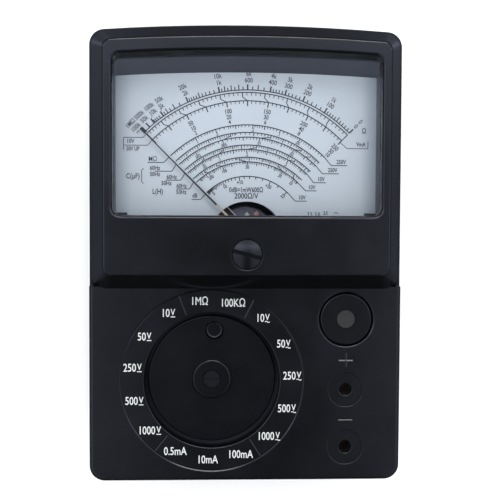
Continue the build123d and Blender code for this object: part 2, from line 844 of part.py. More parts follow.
def detent_spring():
    """The leaf spring whose nose clicks into the wheel's notches."""
    x_leaf = selector_x - detent_radius - 0.7
    leaf = slab(x_leaf - 0.5, x_leaf, selector_y - 6, selector_y + 17, detent_z, detent_z + detent_thickness)
    nose = Rot(0, 0, 45) * Rectangle(0.8, 0.8)
    leaf += Pos(x_leaf + 0.1, selector_y, detent_z) * extrude(nose, detent_thickness)
    foot = slab(x_leaf - 6, x_leaf, selector_y + 14, selector_y + 17, detent_z, detent_z + 0.5)
    return leaf + foot


def detent_post():
    """The pillar and screw on the board that hold the detent spring."""
    x = selector_x - detent_radius - 4.2
    y = selector_y + 15.5
    return rod(x, y, board_top_z, detent_z, 1.4)


def rotor_arm():
    """The insulating arm that carries the wiper."""
    arm = rod(0, 0, 0, detent_z - rotor_z, 5.5)
    arm += slab(-3.5, 3.5, 0, 18.6, 0, detent_z - rotor_z)
    arm -= rod(0, 0, 0, detent_z - rotor_z, shaft_radius)
    return Pos(selector_x, selector_y, rotor_z) * Rot(0, 0, -pointing_angle) * arm


def wiper_contacts():
    """The sprung wiper that joins the ring to one stud."""
    strip = slab(-1.5, 1.5, 8.4, 18.2, rotor_z - 0.4, rotor_z)
    for reach in (9.5, stud_reach):
        strip += Pos(0, reach, 0) * rod(0, 0, board_top_z + contact_height + 0.05, rotor_z - 0.4, 0.8)
    return Pos(selector_x, selector_y, 0) * Rot(0, 0, -pointing_angle) * strip


def switch_board():
    """The board under the knob with the switch contacts and the divider parts."""
    board = slab(-40.5, 22, -70.5, -12, board_z, board_top_z)
    board -= rod(selector_x, selector_y, board_z, board_top_z, 4.0)
    for x, y in board_lugs:
        board -= rod(x, y, board_z, board_top_z, small_screw_radius)
    return board


def board_screws():
    """Four screws that hold the board to the front case."""
    return [
        screw(x, y, board_z - board_screw_head, board_screw_head, board_screw_tip_z,
              small_screw_radius, small_head_radius, True)
        for x, y in board_lugs
    ]


def contact_studs():
    """One contact stud for each range."""
    studs = []
    for step in range(range_count):
        x, y = polar(selector_x, selector_y, stud_reach, first_range + step * range_step)
        studs.append(rod(x, y, board_top_z, board_top_z + contact_height, stud_radius))
    return studs


def common_ring():
    """The ring that the wiper always touches."""
    return tube(selector_x, selector_y, board_top_z, board_top_z + contact_height, 11.0, 8.0)


def resistors():
    """Two rows of divider resistors along the board's edges."""
    z = board_top_z + 1.3
    parts = []
    for y in (-13.9, -63.2, -67.4):
        for step in range(4):
            x = -27.0 + step * 10.0
            parts.append(rod_x(x - 3.2, x + 3.2, y, z, 1.2) + rod_x(x - 4.5, x + 4.5, y, z, 0.3))
    return parts


def shunt_coil():
    """The wire-wound current shunt on its bobbin."""
    bobbin = rod_y(16.5, -54, -44, board_top_z + 3.0, 1.6)
    for y in (-54, -45):
        bobbin += slab(13.5, 19.5, y, y + 1, board_top_z, board_top_z + 6)
    return bobbin + rod_y(16.5, -52.6, -45.4, board_top_z + 3.0, 2.6)


def rectifier_diodes():
    """The two rectifier diodes of the alternating ranges."""
    z = board_top_z + 1.2
    return [rod_y(x, -33.5, -29.0, z, 1.1) + rod_y(x, -35.5, -27.0, z, 0.25) for x in (14.5, 18.5)]


def capacitor():
    """The film capacitor that couples the output range."""
    return rod_y(-36.0, -48.0, -34.0, board_top_z + 2.8, 2.8)


# Ohm-zero potentiometer

def zero_pot_body():
    """The potentiometer's can and threaded neck."""
    floor_z = ohm_recess_z - recess_floor
    body = fillet(rod(ohm_x, ohm_y, 19.0, floor_z, ohm_body_radius).edges().group_by(Axis.Z)[0], 0.6)
    body += rod(ohm_x, ohm_y, floor_z - 0.5, ohm_recess_z + 1.4, ohm_bushing_radius)
    return body - rod(ohm_x, ohm_y, 24.0, ohm_recess_z + 2, ohm_shaft_radius + running_gap)


def zero_pot_nut():
    """The nut that holds the potentiometer in the recess."""
    return nut(ohm_x, ohm_y, ohm_recess_z, ohm_recess_z + 1.2, 6.2, ohm_bushing_radius)


def zero_pot_shaft():
    """The potentiometer's grey shaft, whose end shows in the knob."""
    shaft = rod(ohm_x, ohm_y, 24.2, ohm_shaft_z, ohm_shaft_radius)
    return chamfer(shaft.edges().group_by(Axis.Z)[-1], 0.3)


def zero_ohm_knob():
    """The round ohm-zero knob."""
    low = ohm_recess_z + knob_lift
    knob = rod(ohm_x, ohm_y, low, ohm_knob_z, ohm_knob_radius)
    knob = fillet(knob.edges().group_by(Axis.Z)[-1], 0.5)
    knob -= rod(ohm_x, ohm_y, low, ohm_recess_z + 1.8, 7.3)
    return knob - rod(ohm_x, ohm_y, low, ohm_knob_z, ohm_shaft_radius)


# Jacks

def jack(y):
    """A blind brass socket for a test-lead plug."""
    body = rod(jack_x, y, jack_low_z, jack_high_z, jack_outer)
    return body - rod(jack_x, y, jack_low_z + jack_floor, jack_high_z, jack_bore)


def solder_lugs():
    """A ring tag on each jack."""
    lugs = []
    for y in (plus_y, minus_y):
        tag = rod(jack_x, y, jack_tag_z, jack_boss_z, lug_ring_radius)
        tag += slab(jack_x - lug_tail, jack_x, y - lug_half_width, y + lug_half_width, jack_tag_z, jack_boss_z)
        lugs.append(tag - rod(jack_x, y, jack_tag_z, jack_boss_z, jack_outer))
    return lugs


def jack_nuts():
    """A nut on each jack."""
    return [nut(jack_x, y, jack_nut_z, jack_tag_z, jack_nut_radius, jack_outer) for y in (plus_y, minus_y)]


# Battery

def battery_cell():
    """One AA cell lying across the case."""
    can = chamfer(rod_x(cell_low_x, cell_high_x, cell_y, cell_z, cell_radius).edges(), 0.4)
    return can + rod_x(cell_high_x - 0.1, cell_high_x + cell_nub, cell_y, cell_z, 2.7)


def battery_plate_plus():
    """The spring plate at the positive end."""
    high_x = door_high_x + door_gap
    plate = slab(high_x - 0.5, high_x, cell_y - 5, cell_y + 5, 5.0, 13.5)
    return plate + rod_x(cell_high_x + cell_nub, high_x - 0.4, cell_y, cell_z, 2.0)


def battery_plate_minus():
    """The plate behind the spring at the negative end."""
    low_x = door_low_x - door_gap
    return slab(low_x, low_x + 0.5, cell_y - 5, cell_y + 5, 5.0, 13.5)


def battery_spring():
    """The coil spring that presses the cell."""
    low_x = door_low_x - door_gap + 0.5
    wire = 0.4
    length = cell_low_x - low_x
    pitch = (length - 2 * wire) / 4
    path = Helix(pitch, length - 2 * wire, 3.4)
    coil = sweep(Plane(path @ 0, z_dir=path % 0) * Circle(wire), path=path, is_frenet=True)
    return Pos(low_x + wire, cell_y, cell_z) * Rot(0, 90, 0) * coil


nodes = {
    "front_case": front_case,
    "rear_cover": rear_cover,
    "battery_door": battery_door,
    "case_screws": case_screw_set,
    "window_glass": window_glass,
    "window_frame": window_frame,
    "dial_plate": dial_plate,
    "dial_screws": dial_screws,
    "movement_frame": movement_frame,
    "movement_screws": movement_screws,
    "yoke_ring": yoke_ring,
    "core_magnet": core_magnet,
    "core_holder": core_holder,
    "coil_former": coil_former,
    "coil_winding": coil_winding,
    "front_pivot": front_pivot,
    "rear_pivot": rear_pivot,
    "front_jewel_screw": front_jewel_screw,
    "rear_jewel_screw": rear_jewel_screw,
    "front_bridge": front_bridge,
    "rear_bridge": rear_bridge,
    "pointer_stops": pointer_stops,
    "pointer": pointer,
    "counterweights": counterweights,
    "front_hairspring": front_hairspring,
    "rear_hairspring": rear_hairspring,
    "zero_lever": zero_lever,
    "zero_screw": zero_screw,
    "zero_screw_clip": zero_screw_clip,
    "selector_knob": selector_knob,
    "knob_screw": knob_screw,
    "selector_shaft": selector_shaft,
    "shaft_clip": shaft_clip,
    "selector_bushing": selector_bushing,
    "selector_nut": selector_nut,
    "detent_wheel": detent_wheel,
    "detent_spring": detent_spring,
    "detent_post": detent_post,
    "rotor_arm": rotor_arm,
    "wiper_contacts": wiper_contacts,
    "switch_board": switch_board,
    "board_screws": board_screws,
    "contact_studs": contact_studs,
    "common_ring": common_ring,
    "resistors": resistors,
    "shunt_coil": shunt_coil,
    "rectifier_diodes": rectifier_diodes,
    "capacitor": capacitor,
    "zero_ohm_knob": zero_ohm_knob,
    "zero_pot_shaft": zero_pot_shaft,
    "zero_pot_body": zero_pot_body,
    "zero_pot_nut": zero_pot_nut,
    "plus_jack": lambda: jack(plus_y),
    "minus_jack": lambda: jack(minus_y),
    "jack_nuts": jack_nuts,
    "solder_lugs": solder_lugs,
    "battery_cell": battery_cell,
    "battery_plate_plus": battery_plate_plus,
    "battery_plate_minus": battery_plate_minus,
    "battery_spring": battery_spring,
}

os.makedirs("parts", exist_ok=True)
for name, make in nodes.items():
    made = make()
    solids = made if isinstance(made, list) else made.solids()
    solids = [solid for piece in solids for solid in piece.solids()]
    export_step(Compound(children=solids) if len(solids) > 1 else solids[0], f"parts/{name}.step")
    print(name, len(solids), "solids", round(sum(solid.volume for solid in solids), 2))
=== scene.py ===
import json
from math import cos, pi, radians, sin

import bmesh
import bpy
from mathutils import Euler, Matrix, Vector


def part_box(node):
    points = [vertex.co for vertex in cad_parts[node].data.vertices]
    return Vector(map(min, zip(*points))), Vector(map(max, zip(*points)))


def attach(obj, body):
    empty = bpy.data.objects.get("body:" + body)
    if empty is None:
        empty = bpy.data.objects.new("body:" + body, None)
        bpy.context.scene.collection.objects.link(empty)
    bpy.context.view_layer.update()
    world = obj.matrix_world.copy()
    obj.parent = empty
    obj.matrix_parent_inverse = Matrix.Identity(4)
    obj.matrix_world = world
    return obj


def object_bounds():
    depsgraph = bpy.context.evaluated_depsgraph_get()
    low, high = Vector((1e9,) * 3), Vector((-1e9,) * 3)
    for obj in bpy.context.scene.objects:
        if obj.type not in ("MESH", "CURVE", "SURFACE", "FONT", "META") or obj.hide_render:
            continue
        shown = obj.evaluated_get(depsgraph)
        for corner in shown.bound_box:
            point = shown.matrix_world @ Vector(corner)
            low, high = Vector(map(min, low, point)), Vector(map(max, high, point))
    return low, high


# An analog multimeter lying on its back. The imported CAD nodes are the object; this script gives them
# their materials and adds the printed dial, the lettering, the studio and the camera. Metres throughout.

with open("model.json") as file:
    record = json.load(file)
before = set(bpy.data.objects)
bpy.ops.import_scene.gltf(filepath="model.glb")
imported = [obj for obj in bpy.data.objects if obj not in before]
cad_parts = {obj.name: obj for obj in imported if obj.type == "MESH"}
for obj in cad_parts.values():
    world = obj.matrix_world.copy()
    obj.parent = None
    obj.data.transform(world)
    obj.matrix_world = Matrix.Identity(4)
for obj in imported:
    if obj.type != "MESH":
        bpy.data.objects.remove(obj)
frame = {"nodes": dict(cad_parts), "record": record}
cad_box = [list(corner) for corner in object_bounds()]
nodes = frame["nodes"]
mm = 0.001


# Places read from the frame

def centre(node):
    """The middle of a CAD node's box."""
    low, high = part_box(node)
    return (Vector(low) + Vector(high)) / 2


def top(node):
    """The height of a CAD node's highest point."""
    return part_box(node)[1][2]


KNOB_SUNK = 0.3 * mm            # the ohm-zero knob's face below the panel

pivot = centre("yoke_ring")
pivot_rise = pivot.y / mm
dial_z = top("dial_plate")
selector = centre("selector_shaft")
panel_z = top("zero_ohm_knob") + KNOB_SUNK


# Materials

SKIN_DEPTH = 0.004 * mm         # bump of a moulded or machined skin
ENAMEL_DEPTH = 0.002 * mm
WIRE_DEPTH = 0.03 * mm
DRIP_DEPTH = 0.02 * mm
POINTER_LIFT = 1.4 * mm         # the pointer above the dial
BARE_REACH = 13.7 * mm          # where the pointer's paint begins, from its pivot
PAINT_EDGE = 0.1 * mm


def new_material(name):
    """A material and its Principled shader."""
    made = bpy.data.materials.new(name)
    made.use_nodes = True
    return made, made.node_tree.nodes["Principled BSDF"]


def node(material, kind, **inputs):
    """A shader node with some of its sockets set; a name's underscores stand for spaces."""
    made = material.node_tree.nodes.new(kind)
    for name, value in inputs.items():
        made.inputs[name.replace("_", " ")].default_value = value
    return made


def link(material, output, socket):
    material.node_tree.links.new(output, socket)


def noise(material, scale, detail=4.0, roughness=0.6, stretch=(1, 1, 1)):
    """A noise pattern in the object's own space; scale counts blotches to a metre."""
    place = node(material, "ShaderNodeTexCoord")
    mapping = node(material, "ShaderNodeMapping")
    mapping.inputs["Scale"].default_value = stretch
    made = node(material, "ShaderNodeTexNoise", Scale=scale, Detail=detail, Roughness=roughness)
    link(material, place.outputs["Object"], mapping.inputs["Vector"])
    link(material, mapping.outputs["Vector"], made.inputs["Vector"])
    return made


def ramp(material, source, low, high, start=0.3, end=0.7):
    """A pattern turned into numbers from low to high."""
    made = node(material, "ShaderNodeMapRange")
    made.inputs["From Min"].default_value = start
    made.inputs["From Max"].default_value = end
    made.inputs["To Min"].default_value = low
    made.inputs["To Max"].default_value = high
    link(material, source, made.inputs["Value"])
    return made.outputs["Result"]


def tint(material, source, low, high, start=0.3, end=0.7):
    """A pattern turned into colours from low to high."""
    mix = node(material, "ShaderNodeMix")
    mix.data_type = "RGBA"
    mix.inputs["A"].default_value = (*low, 1)
    mix.inputs["B"].default_value = (*high, 1)
    link(material, ramp(material, source, 0, 1, start, end), mix.inputs["Factor"])
    return mix.outputs["Result"]


def bump(material, shader, source, distance, strength=1.0):
    made = node(material, "ShaderNodeBump", Strength=strength, Distance=distance)
    link(material, source, made.inputs["Height"])
    link(material, made.outputs["Normal"], shader.inputs["Normal"])


def plastic(name, dark, light, rough_low, rough_high, grain=900, depth=SKIN_DEPTH, shine=0.5):
    """Moulded plastic: faint mottle, uneven gloss and a fine skin; shine is its specular level."""
    made, shader = new_material(name)
    shader.inputs["Specular IOR Level"].default_value = shine
    cloud = noise(made, 60, 6)
    skin = noise(made, grain, 3)
    link(made, tint(made, cloud.outputs["Fac"], dark, light), shader.inputs["Base Color"])
    link(made, ramp(made, cloud.outputs["Fac"], rough_low, rough_high), shader.inputs["Roughness"])
    bump(made, shader, skin.outputs["Fac"], depth)
    return made


def metal(name, dark, light, rough_low, rough_high, stretch=(1, 1, 1), grain=600):
    """Bare or plated metal with drawn or turned grain."""
    made, shader = new_material(name)
    grain_noise = noise(made, grain, 5, stretch=stretch)
    shader.inputs["Metallic"].default_value = 1.0
    link(made, tint(made, grain_noise.outputs["Fac"], dark, light), shader.inputs["Base Color"])
    link(made, ramp(made, grain_noise.outputs["Fac"], rough_low, rough_high), shader.inputs["Roughness"])
    bump(made, shader, grain_noise.outputs["Fac"], SKIN_DEPTH)
    return made


def dial_enamel():
    """Cool white enamel with a faint mottle, darkened near its two sides by painted shade where the window's
    side walls shade it.
    """
    made, shader = new_material("dial_enamel")
    cloud = noise(made, 35, 5)
    fine = noise(made, 2500, 3)
    place = node(made, "ShaderNodeTexCoord")
    split = node(made, "ShaderNodeSeparateXYZ")
    link(made, place.outputs["Object"], split.inputs["Vector"])
    sideways = node(made, "ShaderNodeMath")
    sideways.operation = "ABSOLUTE"
    link(made, split.outputs["X"], sideways.inputs[0])
    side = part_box("dial_plate")[1][0]
    # Painted shade: the enamel darkens towards the dial's two sides, standing in for the shade of the
    # window's side walls.
    painted_side_shade = node(made, "ShaderNodeMix")
    painted_side_shade.data_type = "RGBA"
    painted_side_shade.inputs["B"].default_value = (0.22, 0.26, 0.30, 1)
    link(made, ramp(made, sideways.outputs["Value"], 0, 1, 0.86 * side, side), painted_side_shade.inputs["Factor"])
    unshaded_enamel = tint(made, cloud.outputs["Fac"], (0.36, 0.41, 0.46), (0.385, 0.435, 0.485))
    link(made, unshaded_enamel, painted_side_shade.inputs["A"])
    link(made, painted_side_shade.outputs["Result"], shader.inputs["Base Color"])
    link(made, ramp(made, fine.outputs["Fac"], 0.45, 0.6), shader.inputs["Roughness"])
    bump(made, shader, fine.outputs["Fac"], ENAMEL_DEPTH)
    return made


def ink(name, dark, light):
    """Printed ink that thins a little here and there."""
    made, shader = new_material(name)
    cloud = noise(made, 1500, 4)
    link(made, tint(made, cloud.outputs["Fac"], dark, light), shader.inputs["Base Color"])
    link(made, ramp(made, cloud.outputs["Fac"], 0.4, 0.6), shader.inputs["Roughness"])
    return made


def clear_acrylic():
    """The clear window: it shows its surface reflection and lets the rest through."""
    made, shader = new_material("clear_acrylic")
    smear = noise(made, 40, 4)
    grazing = node(made, "ShaderNodeLayerWeight", Blend=0.5)
    steep = node(made, "ShaderNodeMath")
    steep.operation = "POWER"
    steep.inputs[1].default_value = 5.0
    link(made, grazing.outputs["Facing"], steep.inputs[0])
    shader.inputs["Base Color"].default_value = (0.98, 0.99, 1.0, 1)
    shader.inputs["Metallic"].default_value = 1.0
    link(made, ramp(made, steep.outputs["Value"], 0.03, 0.9, 0, 1), shader.inputs["Alpha"])
    link(made, ramp(made, smear.outputs["Fac"], 0.03, 0.09), shader.inputs["Roughness"])
    return made


def two_tone_pointer():
    """The pointer: painted black outside a small radius about its pivot and bare metal inside it."""
    made, shader = new_material("two_tone_pointer")
    place = node(made, "ShaderNodeTexCoord")
    reach = node(made, "ShaderNodeVectorMath")
    reach.operation = "DISTANCE"
    reach.inputs[1].default_value = (pivot.x, pivot.y, dial_z + POINTER_LIFT)
    link(made, place.outputs["Object"], reach.inputs[0])
    bare = ramp(made, reach.outputs["Value"], 1, 0, BARE_REACH - PAINT_EDGE, BARE_REACH + PAINT_EDGE)
    shade = tint(made, bare, (0.010, 0.010, 0.012), (0.36, 0.34, 0.27), 0, 1)
    link(made, shade, shader.inputs["Base Color"])
    link(made, ramp(made, bare, 0.0, 0.3, 0, 1), shader.inputs["Metallic"])
    fine = noise(made, 3000, 3)
    link(made, ramp(made, fine.outputs["Fac"], 0.35, 0.5), shader.inputs["Roughness"])
    return made


def banded_resistor():
    """Lacquered resistor bodies with colour bands across them."""
    made, shader = new_material("banded_resistor")
    place = node(made, "ShaderNodeTexCoord")
    wave = node(made, "ShaderNodeTexWave", Scale=260.0)
    link(made, place.outputs["Object"], wave.inputs["Vector"])
    shade = tint(made, wave.outputs["Fac"], (0.50, 0.34, 0.18), (0.14, 0.03, 0.02), 0.72, 0.78)
    link(made, shade, shader.inputs["Base Color"])
    shader.inputs["Roughness"].default_value = 0.35
    return made


def wound_wire():
    """Enamelled copper wire, turn beside turn."""
    made, shader = new_material("wound_wire")
    place = node(made, "ShaderNodeTexCoord")
    wave = node(made, "ShaderNodeTexWave", Scale=1600.0)
    wave.bands_direction = "Z"
    link(made, place.outputs["Object"], wave.inputs["Vector"])
    shader.inputs["Metallic"].default_value = 0.8
    shader.inputs["Roughness"].default_value = 0.35
    shade = tint(made, wave.outputs["Fac"], (0.05, 0.018, 0.010), (0.12, 0.045, 0.02))
    link(made, shade, shader.inputs["Base Color"])
    bump(made, shader, wave.outputs["Fac"], WIRE_DEPTH)
    return made


slot_materials = {
    "case_plastic": plastic("black_plastic", (0.0014, 0.0016, 0.0019), (0.0019, 0.0021, 0.0025), 0.18, 0.24),
    "frame_plastic": plastic("slate_plastic", (0.0062, 0.0080, 0.0150), (0.0078, 0.0100, 0.0180), 0.3, 0.4,
                             shine=0.4),
    "knob_plastic": plastic("knob_plastic", (0.0014, 0.0014, 0.0015), (0.0018, 0.0018, 0.0019), 0.2, 0.26,
                            1200, shine=0.36),
    "window": clear_acrylic(),
    "dial_paint": dial_enamel(),
    "pointer_paint": two_tone_pointer(),
    "steel": metal("plain_steel", (0.42, 0.42, 0.43), (0.56, 0.56, 0.57), 0.25, 0.4),
    "soft_iron": metal("soft_iron", (0.10, 0.10, 0.11), (0.17, 0.17, 0.18), 0.4, 0.55),
    "magnet": metal("alnico", (0.12, 0.12, 0.13), (0.2, 0.2, 0.21), 0.45, 0.6, grain=300),
    "die_cast": metal("die_cast", (0.35, 0.35, 0.36), (0.45, 0.45, 0.46), 0.45, 0.6, grain=300),
    "aluminium": metal("sheet_aluminium", (0.70, 0.70, 0.71), (0.82, 0.82, 0.83), 0.25, 0.35),
    "copper_wire": wound_wire(),
    # Brass darkened all over, a painted shade that stands for the dark insides of the jack sockets.
    "brass": metal("shade_darkened_brass", (0.24, 0.21, 0.18), (0.34, 0.30, 0.25), 0.35, 0.5, (1, 1, 12)),
    "bronze_spring": metal("bronze_strip", (0.55, 0.30, 0.14), (0.70, 0.42, 0.22), 0.2, 0.3),
    "solder": metal("solder", (0.50, 0.50, 0.52), (0.64, 0.64, 0.66), 0.3, 0.5, grain=1500),
    "black_metal": plastic("blackened_metal", (0.003, 0.0032, 0.004), (0.005, 0.0055, 0.007), 0.45, 0.55,
                           shine=0.15),
    "nickel": metal("nickel_plate", (0.55, 0.53, 0.49), (0.68, 0.66, 0.62), 0.15, 0.3),
    "bakelite": plastic("phenolic", (0.012, 0.010, 0.009), (0.020, 0.017, 0.014), 0.4, 0.5),
    "board_laminate": plastic("laminate", (0.30, 0.17, 0.07), (0.38, 0.23, 0.10), 0.45, 0.6, 2500),
    "resistor_body": banded_resistor(),
    "diode_glass": plastic("diode_body", (0.30, 0.10, 0.03), (0.42, 0.16, 0.05), 0.1, 0.2),
    "film_capacitor": plastic("dipped_film", (0.32, 0.08, 0.02), (0.42, 0.12, 0.03), 0.2, 0.3, 700,
                              DRIP_DEPTH),
    "grey_shaft": plastic("grey_shaft", (0.016, 0.0165, 0.0145), (0.023, 0.024, 0.021), 0.4, 0.5, 1500,
                          shine=0.3),
    "pot_can": metal("pressed_can", (0.34, 0.34, 0.35), (0.46, 0.46, 0.47), 0.35, 0.5),
    "cell_jacket": plastic("cell_jacket", (0.05, 0.07, 0.24), (0.07, 0.09, 0.29), 0.25, 0.35),
}
for part in frame["record"]["subparts"]:
    shown = nodes[part["node"]]
    if not shown.data.materials:
        shown.data.materials.append(None)
    for slot in shown.material_slots:
        slot.material = slot_materials[part["material_slot"]]

dial_ink = ink("dial_ink", (0.004, 0.005, 0.006), (0.012, 0.013, 0.016))
white_ink = ink("white_ink", (0.46, 0.47, 0.47), (0.58, 0.59, 0.59))


# Added pieces, drawn in millimetres

def add_piece(name, mesh, placing, material):
    """A mesh made into a piece that rides on the case; placing takes it from millimetres to the frame."""
    data = bpy.data.meshes.new(name)
    mesh.to_mesh(data)
    mesh.free()
    data.transform(placing)
    data.materials.append(material)
    piece = bpy.data.objects.new(name, data)
    bpy.context.scene.collection.objects.link(piece)
    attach(piece, "case")
    return piece


# Print: strokes and lettering as thin solids standing on a surface

PRINT = 0.03                    # thickness
PRINT_LIFT = 0.3 * PRINT        # its middle above the surface
CAPITAL = 0.70                  # a capital's height as a share of the font's size


def compass(reach, angle):
    """The point at a distance from the origin and a compass angle, clockwise from +Y."""
    return Vector((reach * sin(radians(angle)), reach * cos(radians(angle))))


class Print:
    """Artwork collected into one mesh, in millimetres about an origin."""

    def __init__(self, name, origin, height):
        self.name = name
        self.origin = Vector((origin[0], origin[1], height + PRINT_LIFT * mm))
        self.mesh = bmesh.new()

    def shape(self, points):
        """A flat outline given the thickness of the print."""
        low = [self.mesh.verts.new((x, y, -PRINT / 2)) for x, y in points]
        high = [self.mesh.verts.new((x, y, PRINT / 2)) for x, y in points]
        self.mesh.faces.new(high)
        self.mesh.faces.new(reversed(low))
        for i in range(len(points)):
            self.mesh.faces.new((low[i - 1], low[i], high[i], high[i - 1]))

    def stroke(self, start, end, width):
        """A straight line."""
        start, end = Vector(start), Vector(end)
        along = (end - start).normalized()
        side = Vector((-along.y, along.x)) * (width / 2)
        self.shape([start - side, end - side, end + side, start + side])

    def path(self, points, width):
        """Straight lines from point to point."""
        for start, end in zip(points, points[1:]):
            self.stroke(start, end, width)

    def arc(self, reach, start, end, width):
        """A circular line about the origin between two compass angles."""
        steps = max(8, int(abs(end - start)))
        angles = [start + (end - start) * step / steps for step in range(steps + 1)]
        outer = [compass(reach + width / 2, angle) for angle in reversed(angles)]
        self.shape(outer + [compass(reach - width / 2, angle) for angle in angles])

    def tick(self, angle, inner, outer, width):
        """A radial line."""
        self.stroke(compass(inner, angle), compass(outer, angle), width)

    def text(self, words, place, size, turn=0.0, squeeze=0.8, weight=0.045):
        """Lettering with capitals of a size, turned clockwise, narrowed by squeeze, thickened by weight."""
        curve = bpy.data.curves.new("words", "FONT")
        curve.body = words
        curve.align_x = "CENTER"
        curve.align_y = "CENTER"
        curve.size = size / CAPITAL
        curve.offset = weight
        curve.extrude = PRINT / 2
        curve.resolution_u = 3
        holder = bpy.data.objects.new("words", curve)
        flat = bpy.data.meshes.new_from_object(holder)
        turned = Matrix.Rotation(radians(-turn), 4, "Z") @ Matrix.Diagonal((squeeze, 1, 1, 1))
        flat.transform(Matrix.Translation((place[0], place[1], 0)) @ turned)
        self.mesh.from_mesh(flat)
        bpy.data.objects.remove(holder)
        bpy.data.meshes.remove(flat)

    def done(self, material):
        """The finished piece, which stays out of reflections."""
        placing = Matrix.Translation(self.origin) @ Matrix.Diagonal((mm, mm, mm, 1))
        add_piece(self.name, self.mesh, placing, material).visible_glossy = False


# Dial scales, about the needle's pivot

SWING = 45.0                    # the needle's travel to each side of upright, in degrees
THICK, FINE = 0.5, 0.34         # line widths
ROOM = 1.15                     # the least angle between two marks of a small scale, in degrees
METER_OHMS = 9.08e3             # the meter's resistance on its low range
HIGH_RANGE = 25                 # how many times that it has on its high range

# The radii of the scales' arcs
OHM_ARC = 46.85
LOW_VOLT_ARC = 46.05
VOLT_ARC = 43.35
MEGOHM_ARC = 35.6
HIGH_CAPACITY_ARCS = (33.15, 31.65)
LOW_CAPACITY_ARCS = (29.1, 27.7)
INDUCTANCE_ARCS = (25.15, 23.65)
DECIBEL_ARC = 18.95


def even(share):
    """Where a share of full deflection falls, 0 at the left and 1 at the right."""
    return -SWING + 2 * SWING * share


def ohm_angle(kilo_ohms):
    """Where a resistance falls on the top scale, which reads 6k at its middle."""
    return even(6 / (6 + kilo_ohms))


def low_volt_angle(tenths):
    """Where a tenth of full deflection falls on the slightly crowded alternating scale."""
    return even((tenths / 10) ** 1.07)


def decibel_angle(level):
    """Where a level over 0.775 V falls on the ten volt scale."""
    return low_volt_angle(0.775 * 10 ** (level / 20))


def megohm_angle(megohms):
    """Where a resistance falls on the scale of the high range."""
    own = METER_OHMS * HIGH_RANGE / 1e6
    return even(own / (own + megohms))


def capacity_law(hertz, meter_ohms):
    """The scale that a capacitor in series with the meter gives, in microfarads."""
    knee = 1e6 / (2 * pi * hertz * meter_ohms)
    return lambda value: even(value / (value**2 + knee**2) ** 0.5)


def inductance_law(hertz, meter_ohms):
    """The scale that a coil in series with the meter gives, in henries."""
    knee = meter_ohms / (2 * pi * hertz)
    return lambda value: even(knee / (value**2 + knee**2) ** 0.5)


def round_marks(law, first, last):
    """Round values from first to last, ROOM apart or more, each with whether its mark is a long one."""
    value, marks = first, []
    while value < last:
        steps = [digit * 10.0**power for power in range(-4, 3) for digit in (1, 2, 5)]
        wide = [step for step in steps if abs(law(value + step) - law(value)) >= ROOM]
        if not wide:
            break
        step = wide[0]
        value = (int(value / step + 0.001) + 1) * step
        marks.append((value, round(value / step) % 5 == 0))
    return [mark for mark in marks if mark[0] <= last]


def inner_scale(art, reach, law, first, last, numbers=(), number_reach=0.0):
    """One of the small scales: its arc, ticks on the inner side, and numbers along a smaller radius."""
    art.arc(reach, -SWING + 0.6, SWING, FINE)
    for value, is_long in round_marks(law, first, last):
        art.tick(law(value), reach - (1.1 if is_long else 0.75), reach, 0.3 if is_long else 0.23)
    for number in numbers:
        words = f"{number:g}".lstrip("0")
        art.text(words, compass(number_reach, law(number)), 1.1, law(number), 0.75)


def joined(art, outer_reach, outer_law, inner_reach, inner_law, values):
    """Slanting lines that join the same value on two neighbouring scales."""
    for value in values:
        art.tick(outer_law(value), outer_reach - 0.8, outer_reach, 0.3)
        start = compass(outer_reach - 0.7, outer_law(value))
        art.stroke(start, compass(inner_reach, inner_law(value)), 0.26)
        art.tick(inner_law(value), inner_reach - 1.1, inner_reach, 0.3)


def ohm_scale(art):
    """The resistance scale: ticks outside its arc, and two rows of numbers."""
    base = OHM_ARC
    art.arc(base, -SWING, SWING, FINE)
    runs = ((0, 1, 0.1), (1, 4, 0.2), (4, 10, 0.5), (10, 20, 1), (20, 50, 5), (50, 100, 10))
    for first, last, step in runs:
        for k in range(1, round((last - first) / step)):
            value = round(first + k * step, 1)
            half_way = value in (0.5, 5, 7, 8, 9, 15, 30, 40)
            art.tick(ohm_angle(value), base, base + (1.7 if half_way else 1.1), FINE)
    for value in (0, 1, 2, 3, 4, 6, 10, 20, 50, 100, 200):
        art.tick(ohm_angle(value), base, base + 1.8, THICK)
    art.tick(-SWING, base - 0.4, base + 1.9, 1.2)
    far, near = 52.0, 49.9
    for value, angle in ((100, -38.6), (50, -34.2)):
        art.stroke(compass(base + 1.6, ohm_angle(value)), compass(base + 2.4, angle), 0.16)
    outer = [("1MΩ", -46.6), ("500k", -42.3), ("100k", -37.8), ("50k", -33.4), ("0", SWING)]
    outer += [(f"{k}k", ohm_angle(k) + 0.4) for k in (20, 10, 6, 4, 3, 2, 1)]
    inner = [("100k", -46.3), ("50k", -41.9), ("10k", -37.8), ("5k", -34.0), ("0", SWING)]
    pairs = ((20, "2k"), (10, "1k"), (6, "600"), (4, "400"), (3, "300"), (2, "200"), (1, "100"))
    inner += [(words, ohm_angle(k) + 0.4) for k, words in pairs]
    for reach, row in ((far, outer), (near, inner)):
        for words, angle in row:
            art.text(words, compass(reach, angle), 1.55, angle, 0.8, 0.035)
    art.text("∞", compass(48.3, -46.8), 1.3, -SWING)
    art.text("Ω", (38.0, 33.8), 1.6)


